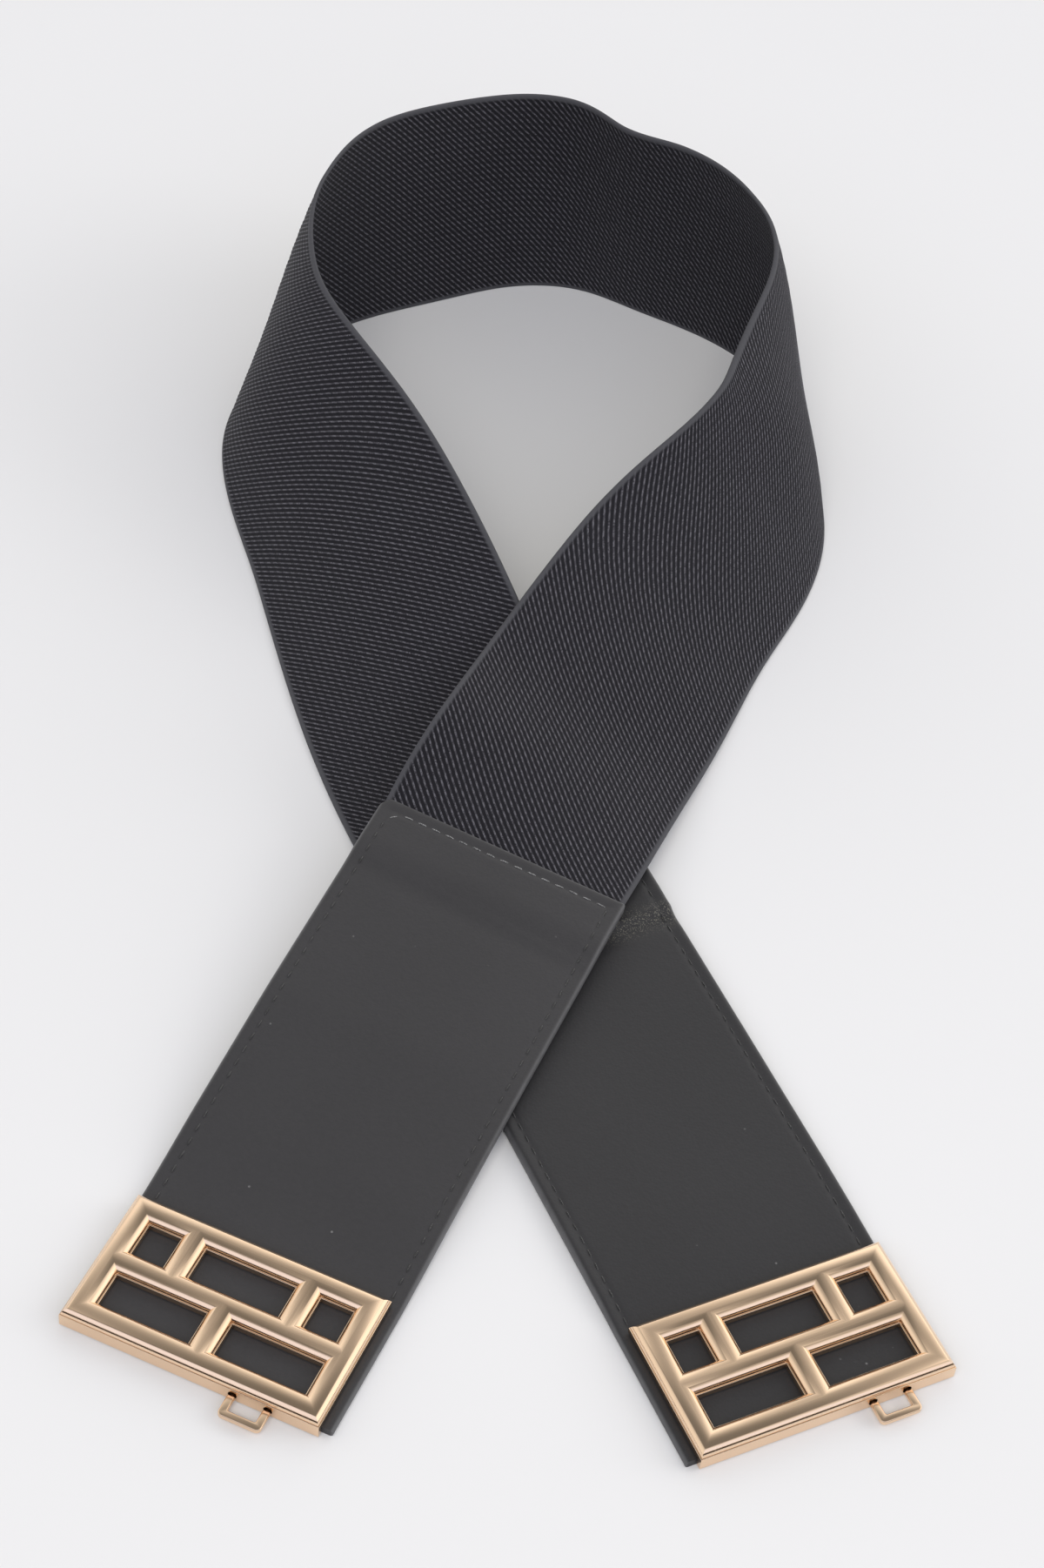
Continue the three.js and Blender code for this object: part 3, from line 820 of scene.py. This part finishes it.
def cut_hook_bay(piece, end, length):
    """The leather's free end is cut away round the hidden hook."""
    middle = ELASTIC_WIDTH / 2 + BUCKLE_SIDE_SHIFT - end.sense * LOOP_OFFSET
    half = HOOK_WIDTH / 2 + CLEARANCE
    origin, width, normal, _ = (value[0] for value in end.frames(np.array([length])))
    corners = [
        origin + width * w + normal * h + end.out * out
        for w in (middle - half, middle + half)
        for h in (-TAB_THICKNESS, TAB_THICKNESS)
        for out in (-HOOK_BAY - HOOK_THICKNESS, 1.0)
    ]
    bay = mesh_object("bay", corners, BLOCK_FACES, piece.data.materials[0])
    boolean(piece, bay, "DIFFERENCE")
    tidy(piece.data, LEATHER_SHARP)


def mark_places(piece, end):
    """Gives the leather's material every point's distance from the elastic and sideways place."""
    points = mesh_points(piece) / MM - OFFSET
    distance = (points - end.edge) @ end.out
    origin, width, _, _ = end.frames(distance)
    sideways = ((points - origin) * width).sum(axis=1)
    carry(piece, "leather_place", distance, sideways, 0 * distance)


# Buckle halves

class Half:
    """Places points of a buckle half. X runs along its free edge, Y towards the belt, Z up."""

    def __init__(self, end):
        toward_belt = -end.out
        self.y = toward_belt
        self.x = np.array([toward_belt[1], -toward_belt[0], 0])
        self.origin = end.edge + end.out * (TAB_LENGTH + BUCKLE_DEPTH)
        self.origin = self.origin + direction(end.heading + 90) * (ELASTIC_WIDTH / 2 + BUCKLE_SIDE_SHIFT)
        self.origin[2] = 0

    def place(self, points):
        points = np.asarray(points, float)
        return (
            self.origin
            + points[:, :1] * self.x
            + points[:, 1:2] * self.y
            + points[:, 2:] * np.array([0, 0, 1])
        )


def half_object(name, points, faces):
    """An object in the half's own frame, one unit to the millimetre, for cuts and joins."""
    mesh = bpy.data.meshes.new(name)
    mesh.from_pydata([tuple(float(value) for value in point) for point in points], [], faces)
    piece = bpy.data.objects.new(name, mesh)
    bpy.context.scene.collection.objects.link(piece)
    tidy(mesh)
    mesh.materials.append(GOLD)
    return piece


def finish_half(piece, half, limit):
    """Moves a piece of metal from the half's own frame to its place, and hands it over."""
    placed = (half.place(mesh_points(piece)) + OFFSET) * MM
    piece.data.vertices.foreach_set("co", placed.ravel())
    tidy(piece.data, limit)
    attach(piece, "root")


def bar_section():
    """The bar's section from its outer foot to its inner foot: inset from the outer face, height."""
    soft, beside = BAR_SOFT, BAR_SOFT + BAR_FLAT
    turns = np.linspace(0, np.pi / 2, 4)
    outer = [(soft * (1 - math.sin(t)), BAR_FOOT + soft * (1 - math.cos(t))) for t in turns]
    outer += [(0, BAR_FOOT + beside), (0, BAR_LEDGE_HEIGHT - beside)]
    shoulder = [
        (soft * (1 - math.cos(t)), BAR_LEDGE_HEIGHT - soft * (1 - math.sin(t))) for t in turns
    ]
    radius = BAR_WIDTH / 2 - BAR_LEDGE
    dome = []
    for angle in np.linspace(math.pi, 0, 29):
        rise = BAR_DOME * math.sin(angle) ** DOME_POWER
        dome.append((BAR_WIDTH / 2 + radius * math.cos(angle), BAR_LEDGE_HEIGHT + rise))
    half = outer + shoulder
    return half + dome + [(BAR_WIDTH - inset, height) for inset, height in reversed(half)]


def frame_ring():
    """The outer frame, mitred at its four corners."""
    x, y = BUCKLE_WIDTH / 2, BUCKLE_DEPTH
    section = bar_section()
    corners = ((-x, 0, 1, 1), (x, 0, -1, 1), (x, y, -1, -1), (-x, y, 1, -1))
    points = [
        (cx + ix * inset, cy + iy * inset, height)
        for cx, cy, ix, iy in corners
        for inset, height in section
    ]
    return points, ring_faces(4, len(section), closed=True)


def lattice_bars():
    """A rail along the middle of the frame, and posts like the joints in two courses of bricks."""
    x = (BUCKLE_WIDTH - BAR_WIDTH) / 2
    near, middle, far = BAR_WIDTH / 2, BUCKLE_DEPTH / 2, BUCKLE_DEPTH - BAR_WIDTH / 2
    ends = (
        ((-x, middle), (x, middle)),
        ((0, near), (0, middle)),
        ((-x / 2, middle), (-x / 2, far)),
        ((x / 2, middle), (x / 2, far)),
    )
    section = bar_section()
    count = len(section)
    faces = ring_faces(2, count) + ring_cover(0, count) + ring_cover(count, count)
    bars = []
    for step, (start, finish) in enumerate(ends, 1):
        run = Vector((finish[0] - start[0], finish[1] - start[1])).normalized()
        points = [
            (
                at[0] - run.y * (inset - BAR_WIDTH / 2),
                at[1] + run.x * (inset - BAR_WIDTH / 2),
                height - JOIN_STEP * step,
            )
            for at in (start, finish)
            for inset, height in section
        ]
        bars.append((points, faces))
    return bars


def cylinder(radius, x, z, low_y, high_y, sides=28):
    """A cylinder along Y."""
    points = []
    for y in (low_y, high_y):
        for k in range(sides):
            angle = 2 * math.pi * k / sides
            points.append((x + radius * math.cos(angle), y, z + radius * math.sin(angle)))
    return points, ring_faces(2, sides) + [tuple(range(sides)), tuple(range(sides, 2 * sides))]


def block(low, high):
    corners = [(x, y, z) for x in (low[0], high[0]) for y in (low[1], high[1]) for z in (low[2], high[2])]
    return corners, BLOCK_FACES


def make_frame(suffix, half):
    piece = half_object(f"gold_frame_{suffix}", *frame_ring())
    for bar in lattice_bars():
        boolean(piece, half_object("part", *bar), "UNION")
    x = BUCKLE_WIDTH / 2
    lip_top = BAR_LEDGE_HEIGHT - BAR_SOFT - BAR_FLAT
    lip = block((-x + JOIN_STEP, -JOIN_STEP, LIP_FOOT), (x - JOIN_STEP, LIP_THICKNESS, lip_top))
    boolean(piece, half_object("part", *lip), "UNION")
    for side in (-1, 1):
        hole_x = LOOP_OFFSET + side * LOOP_SPACING / 2
        depth = LIP_THICKNESS + CLEARANCE
        hole = cylinder(LOOP_SOCKET_RADIUS, hole_x, LOOP_SOCKET_HEIGHT, -1, depth)
        boolean(piece, half_object("part", *hole), "DIFFERENCE")
    finish_half(piece, half, FRAME_SHARP)
    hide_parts(f"buckle_frame_{suffix}")


def rounded_outline(corners, radii, steps=5):
    """A closed outline in the plane, with each corner rounded to its radius."""
    outline = []
    count = len(corners)
    for k, (corner, radius) in enumerate(zip(corners, radii)):
        corner = np.array(corner, float)
        if radius == 0:
            outline.append(tuple(corner))
            continue
        before = np.array(corners[k - 1], float) - corner
        after = np.array(corners[(k + 1) % count], float) - corner
        before /= np.linalg.norm(before)
        after /= np.linalg.norm(after)
        centre = corner + (before + after) * radius
        for t in np.linspace(0, np.pi / 2, steps):
            outline.append(tuple(centre - after * radius * math.cos(t) - before * radius * math.sin(t)))
    return outline


def make_loop(suffix, half):
    """A flat loop with bevelled edges and two round pegs in the lip's holes."""
    outer, inner = (LOOP_SPACING + LOOP_BAR) / 2, (LOOP_SPACING - LOOP_BAR) / 2
    root, far, near = -CLEARANCE, -LOOP_REACH, LOOP_BAR - LOOP_REACH
    corners = [(-outer, root), (-outer, far), (outer, far), (outer, root)]
    corners += [(inner, root), (inner, near), (-inner, near), (-inner, root)]
    outline = rounded_outline(corners, LOOP_CORNERS)
    count = len(outline)
    points = []
    for z in (LOOP_HEIGHT - LOOP_THICKNESS / 2, LOOP_HEIGHT + LOOP_THICKNESS / 2):
        points += [(x + LOOP_OFFSET, y, z) for x, y in outline]
    faces = ring_faces(2, count) + [tuple(range(count)), tuple(range(count, 2 * count))]
    piece = half_object(f"gold_loop_{suffix}", points, faces)
    bevel = piece.modifiers.new("bevel", "BEVEL")
    bevel.width = LOOP_BEVEL
    bevel.segments = 3
    bevel.limit_method = "ANGLE"
    bevel.angle_limit = math.radians(50)
    for side in (-1, 1):
        x = LOOP_OFFSET + side * LOOP_SPACING / 2
        peg = cylinder(LOOP_PEG_RADIUS, x, LOOP_HEIGHT, -LOOP_BAR, LIP_THICKNESS, 16)
        boolean(piece, half_object("part", *peg), "UNION")
    finish_half(piece, half, LOOP_SHARP)
    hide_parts(f"clasp_loop_{suffix}")


# Stitches

def stitch_rows(end, corners):
    """Centre, direction and material number of every stitch along a tab's two sides and its end."""
    low, high = -TAB_SIDE_MARGIN + STITCH_INSET, ELASTIC_WIDTH + TAB_SIDE_MARGIN - STITCH_INSET
    cut = max(0.0, corners[1] - 0.2)
    # Material 1, on the end row and its cut corner, is the thread with painted glints; 0 is the dark thread
    paths = [
        ((TAB_LENGTH - 1, low), (STITCH_INSET, low), 0),
        ((STITCH_INSET, low), (STITCH_INSET, high - cut), 1),
        ((STITCH_INSET + cut, high), (TAB_LENGTH - 1, high), 0),
    ]
    if cut > 1:
        paths.append(((STITCH_INSET, high - cut), (STITCH_INSET + cut, high), 1))
    places = []
    for start, finish, material in paths:
        start, finish = np.array(start), np.array(finish)
        length = np.linalg.norm(finish - start)
        count = max(1, round(length / STITCH_PITCH))
        for k in range(count):
            centre = start + (finish - start) * (k + 0.5) / count
            places.append((centre, (finish - start) / length, material))
    return places


def make_stitches(suffix, end, corners):
    """Short threads whose ends go down into the leather, with a small swing drawn for each."""
    rings, sides = STITCH_RINGS, STITCH_SIDES
    points, faces, materials = [], [], []
    chance = random.Random(STITCH_SEED + len(suffix))
    for (distance, sideways), (along, over), material in stitch_rows(end, corners):
        origin, width, normal, thickness = (value[0] for value in end.frames(np.array([distance])))
        run = end.out * along + width * over
        side = np.cross(normal, run)
        centre = origin + width * sideways + normal * (thickness / 2 - STITCH_VALLEY)
        run = run + side * chance.uniform(-STITCH_SWING, STITCH_SWING)
        first = len(points)
        for i in range(rings):
            share = i / (rings - 1) * 2 - 1
            radius = STITCH_WIDTH / 2 * math.sqrt(max(0.15, 1 - share**4))
            height = STITCH_LIFT - STITCH_DIVE * share**4
            middle = centre + run * share * STITCH_LENGTH / 2 + normal * height
            for k in range(sides):
                angle = 2 * math.pi * k / sides
                points.append(middle + side * radius * math.cos(angle) + normal * radius * math.sin(angle))
        faces += [tuple(first + v for v in face) for face in ring_faces(rings, sides)]
        faces += [tuple(range(first, first + sides)), tuple(range(len(points) - sides, len(points)))]
        materials += [material] * (len(faces) - len(materials))
    piece = mesh_object(f"stitches_{suffix}", points, faces, DARK_THREAD)
    piece.data.materials.append(GLINT_PAINTED_THREAD)
    piece.data.polygons.foreach_set("material_index", materials)
    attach(piece, "root")


# Stage

ROOM_FOOT = (0.55, 0.55, 0.56)
ROOM_LEFT = (0.95, 0.94, 0.92)
ROOM_RIGHT = (1.42, 1.40, 1.37)
ROOM_TOP = (0.20, 0.20, 0.20)
ROOM_PANEL = (1.02, 1.06, 1.28)
ROOM_STRIP = (0.04, 0.03, 0.03)
FLOOR_HALF = 40.0                 # metres, as are the lights' places and sizes

LIGHT_COLUMNS = ("name", "place", "size", "power", "colour")
LIGHTS = (
    ("key", (-0.5, -2.6, 4.4), 2.8, 98, (1.0, 0.97, 0.88)),
    ("fill", (2.2, 0.1, 1.0), 1.2, 9, (1.0, 1.0, 1.0)),
)


def make_stage():
    mesh = bpy.data.meshes.new("floor")
    corners = [(FLOOR_HALF * x, FLOOR_HALF * y, 0) for x, y in ((-1, -1), (1, -1), (1, 1), (-1, 1))]
    mesh.from_pydata(corners, [], [(0, 1, 2, 3)])
    floor = bpy.data.objects.new("floor", mesh)
    bpy.context.scene.collection.objects.link(floor)
    material, nodes = new_material("pale_floor")
    colour = nodes.mix(nodes.noise(FLOOR_SCALE, 3), *FLOOR_COLOURS)
    nodes.set(Base_Color=colour, Roughness=0.7, Specular_IOR_Level=0.2)
    mesh.materials.append(material)


def make_camera():
    data = bpy.data.cameras.new("camera")
    data.lens = CAMERA_LENS
    data.sensor_width = 36
    data.clip_start = 0.01
    camera = bpy.data.objects.new("camera", data)
    bpy.context.scene.collection.objects.link(camera)
    pitch, roll = math.radians(CAMERA_PITCH), math.radians(CAMERA_ROLL)
    forward = Vector((0, math.cos(pitch), -math.sin(pitch)))
    right = Vector((1, 0, 0))
    up = right.cross(forward)
    turned_right = right * math.cos(roll) + up * math.sin(roll)
    turned_up = up * math.cos(roll) - right * math.sin(roll)
    rotation = Matrix((turned_right, turned_up, -forward)).transposed()
    camera.matrix_world = Matrix.Translation(CAMERA_PLACE) @ rotation.to_4x4()
    bpy.context.scene.camera = camera


def make_light(name, place, size, power, colour):
    """A square soft light that points at the belt's middle and isn't mirrored by the metal."""
    data = bpy.data.lights.new(name, "AREA")
    data.shape = "SQUARE"
    data.size = size
    data.energy = power
    data.color = colour
    light = bpy.data.objects.new(name, data)
    bpy.context.scene.collection.objects.link(light)
    light.location = place
    light.rotation_mode = "QUATERNION"
    light.rotation_quaternion = (-Vector(place)).to_track_quat("-Z", "Y")
    light.visible_glossy = False


def make_world():
    """A pale room with a wide soft panel in front, above a dim strip near the floor.

    Polished metal mirrors the panel as a light stripe and the strip as a dark line.
    """
    world = bpy.data.worlds.new("studio")
    bpy.context.scene.world = world
    world.use_nodes = True
    nodes = Nodes(world.node_tree)
    sideways, depth, height = nodes.split(nodes.new("ShaderNodeTexCoord").outputs["Generated"])
    front =nodes.math("MULTIPLY", depth, -1.0)
    panel = nodes.math("MULTIPLY", nodes.ramp(height, 0.40, 0.46), nodes.ramp(height, 0.92, 0.82))
    panel = nodes.math("MULTIPLY", panel, nodes.ramp(front, 0.25, 0.45))
    strip = nodes.math("MULTIPLY", nodes.ramp(height, 0.40, 0.35), nodes.ramp(front, 0.15, 0.40))
    room = nodes.mix(nodes.ramp(sideways, -0.7, 0.7), ROOM_LEFT, ROOM_RIGHT)
    room = nodes.mix(nodes.ramp(height, 0.02, 0.12), ROOM_FOOT, room)
    room = nodes.mix(nodes.ramp(height, 0.48, 1.0), room, ROOM_TOP)
    room = nodes.mix(panel, room, ROOM_PANEL)
    room = nodes.mix(strip, room, ROOM_STRIP)
    background = world.node_tree.nodes["Background"]
    nodes.link(room, background.inputs["Color"])
    background.inputs["Strength"].default_value = 1.0


bpy.context.scene.view_settings.view_transform = "Standard"
make_camera()
make_world()
make_stage()
for light in LIGHTS:
    make_light(**dict(zip(LIGHT_COLUMNS, light)))

make_elastic()
make_tab("leather_tab_top", END_TOP, LEATHER_TOP, TOP_CORNERS, TOP_CREASE, "tab_top")
make_tab("leather_tab_under", END_UNDER, LEATHER_UNDER, UNDER_CORNERS, UNDER_CREASE, "tab_under")
make_stitches("top", END_TOP, TOP_CORNERS)
make_stitches("under", END_UNDER, UNDER_CORNERS)
for suffix, end in (("top", END_TOP), ("under", END_UNDER)):
    half = Half(end)
    make_frame(suffix, half)
    make_loop(suffix, half)
    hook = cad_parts[f"clasp_hook_{suffix}"]
    hook.data.materials.clear()
    hook.data.materials.append(GOLD)
